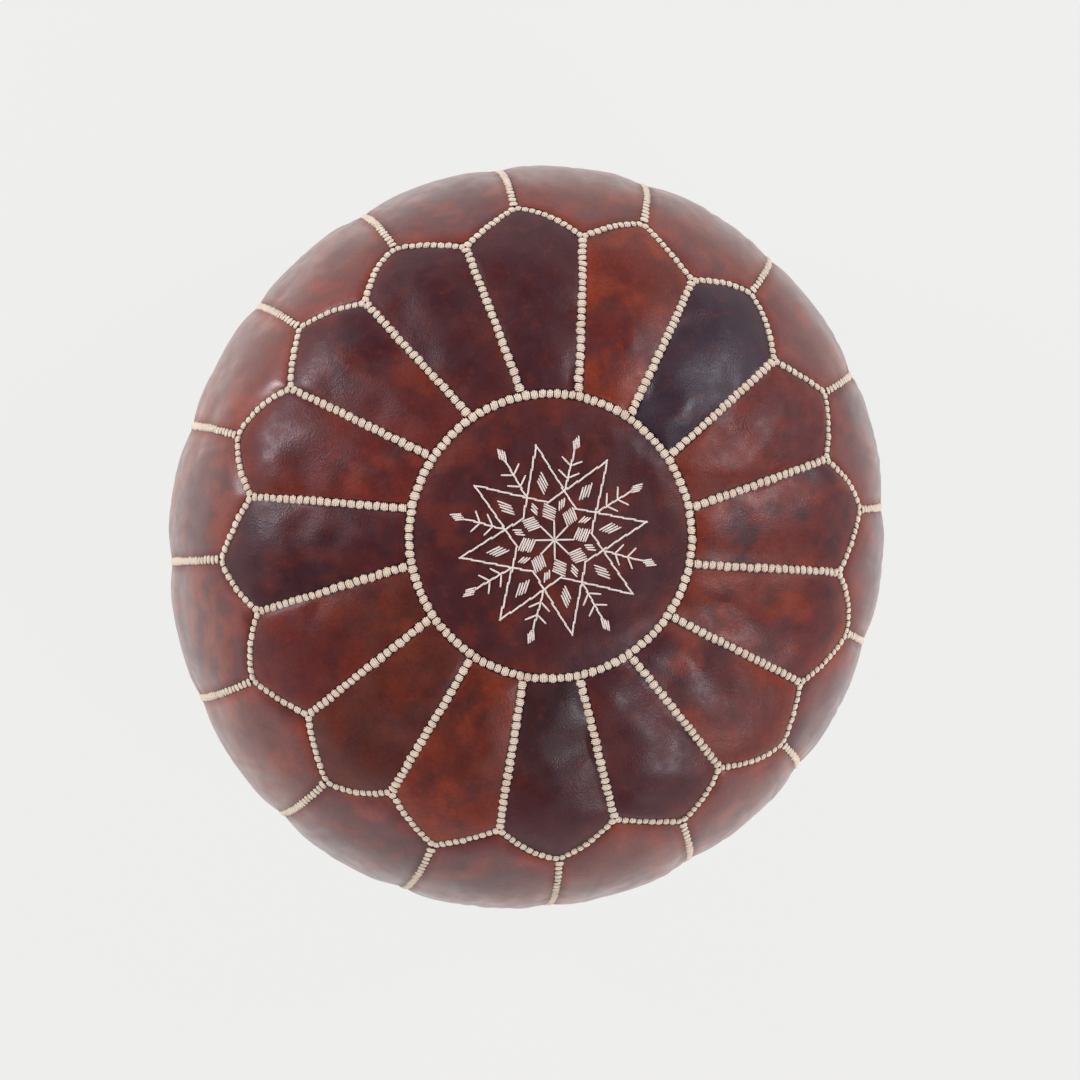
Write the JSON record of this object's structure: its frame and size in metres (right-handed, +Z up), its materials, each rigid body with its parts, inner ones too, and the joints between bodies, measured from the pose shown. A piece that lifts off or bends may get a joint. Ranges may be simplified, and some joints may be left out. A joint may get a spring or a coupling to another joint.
{
  "type": "moroccan leather pouf",
  "caption": "Round stuffed leather floor pouf, sewn from petals round an embroidered medallion, with braided seams and a zip in its base.",
  "frame": {"origin": "middle of the base, on the floor that the pouf stands on", "axes": "+Z up, +X towards the point of the first petal and along the zip, towards its closed end"},
  "size_m": [0.5244, 0.5244, 0.3408],
  "materials": {
    "medallion_leather": "waxed, dark brown",
    "petal_leather": "waxed, mottled red-brown",
    "side_leather": "waxed, mottled red-brown",
    "base_leather": "plain brown",
    "braid_cotton": "cream braided cotton",
    "embroidery_cotton": "off-white thread",
    "sewing_thread": "waxed brown thread",
    "wadding": "loose cotton wadding",
    "bag_cloth": "unbleached muslin",
    "tape_cloth": "brown woven tape",
    "zip_nylon": "brown nylon",
    "zip_metal": "worn antique brass"
  },
  "bodies": {
    "cover": {"filling": "wadding", "inner_bag": "bag_cloth", "medallion": "medallion_leather", "base_half_front": "base_leather", "base_half_rear": "base_leather", "medallion_braid": "braid_cotton", "petal_seam_braids": "braid_cotton", "petal_edge_braid": "braid_cotton", "side_seam_braids": "braid_cotton", "base_welt": "side_leather", "base_end_seams": "sewing_thread", "medallion_embroidery": "embroidery_cotton", "zip_tape_front": "tape_cloth", "zip_tape_rear": "tape_cloth", "zip_coil_front": "zip_nylon", "zip_coil_rear": "zip_nylon", "zip_stops_closed": "zip_metal", "zip_stop_open": "zip_metal", "zip_stitches": "sewing_thread", "petal_01": "petal_leather", "petal_02": "petal_leather", "petal_03": "petal_leather", "petal_04": "petal_leather", "petal_05": "petal_leather", "petal_06": "petal_leather", "petal_07": "petal_leather", "petal_08": "petal_leather", "petal_09": "petal_leather", "petal_10": "petal_leather", "petal_11": "petal_leather", "petal_12": "petal_leather", "petal_13": "petal_leather", "petal_14": "petal_leather", "petal_15": "petal_leather", "petal_16": "petal_leather", "side_panel_01": "side_leather", "side_panel_02": "side_leather", "side_panel_03": "side_leather", "side_panel_04": "side_leather", "side_panel_05": "side_leather", "side_panel_06": "side_leather", "side_panel_07": "side_leather", "side_panel_08": "side_leather", "side_panel_09": "side_leather", "side_panel_10": "side_leather", "side_panel_11": "side_leather", "side_panel_12": "side_leather", "side_panel_13": "side_leather", "side_panel_14": "side_leather", "side_panel_15": "side_leather", "side_panel_16": "side_leather"},
    "zip_slider": {"zip_slider": "zip_metal"},
    "zip_pull": {"zip_pull": "zip_metal"}
  },
  "joints": [
    {"name": "zip_slide", "type": "slide", "parent": "cover", "child": "zip_slider", "axis": [-1, 0, 0], "range_m": [0, 0.26], "deforming": ["zip_coil_front", "zip_coil_rear"]},
    {"name": "pull_swing", "type": "hinge", "parent": "zip_slider", "child": "zip_pull", "pos_m": [0.13, 0, 0.0066], "axis": [0, 1, 0], "range_deg": [-165, 16]}
  ]
}
